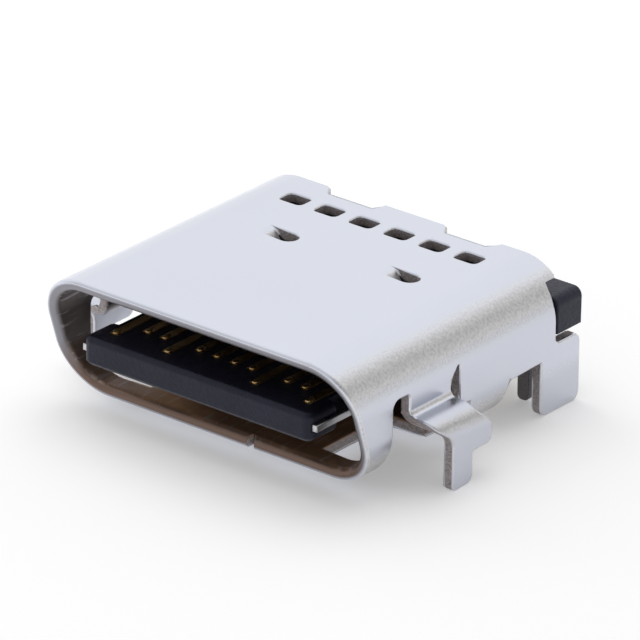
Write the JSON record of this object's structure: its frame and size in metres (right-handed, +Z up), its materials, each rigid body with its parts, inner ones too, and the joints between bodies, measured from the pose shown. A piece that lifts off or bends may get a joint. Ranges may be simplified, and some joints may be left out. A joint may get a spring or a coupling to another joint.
{
  "type": "usb-c socket",
  "caption": "Board-mounted socket with a rounded folded steel shell, a slanted mouth, a black tongue with gold contacts, and folded solder legs.",
  "frame": {"origin": "on the plane of the solder legs' ends, under the middle of the socket's box", "axes": "+Y along the way the plug goes in, from the mouth to the tails; +Z up, away from the board; +X to the right seen from the mouth"},
  "size_m": [0.0106, 0.0086, 0.0034],
  "materials": {
    "shell": "plated, bright, with a fine grain at the bends",
    "housing": "moulded, satin black",
    "plates": "stamped, satin",
    "contacts": "gold plated, bright"
  },
  "bodies": {
    "root": {"shell": "shell", "housing": "housing", "mid_plate": "plates", "upper_ground_plate": "plates", "lower_ground_plate": "plates", "upper_contact_01": "contacts", "upper_contact_02": "contacts", "upper_contact_03": "contacts", "upper_contact_04": "contacts", "upper_contact_05": "contacts", "upper_contact_06": "contacts", "upper_contact_07": "contacts", "upper_contact_08": "contacts", "upper_contact_09": "contacts", "upper_contact_10": "contacts", "upper_contact_11": "contacts", "upper_contact_12": "contacts", "lower_contact_01": "contacts", "lower_contact_02": "contacts", "lower_contact_03": "contacts", "lower_contact_04": "contacts", "lower_contact_05": "contacts", "lower_contact_06": "contacts", "lower_contact_07": "contacts", "lower_contact_08": "contacts", "lower_contact_09": "contacts", "lower_contact_10": "contacts", "lower_contact_11": "contacts", "lower_contact_12": "contacts"}
  },
  "joints": []
}
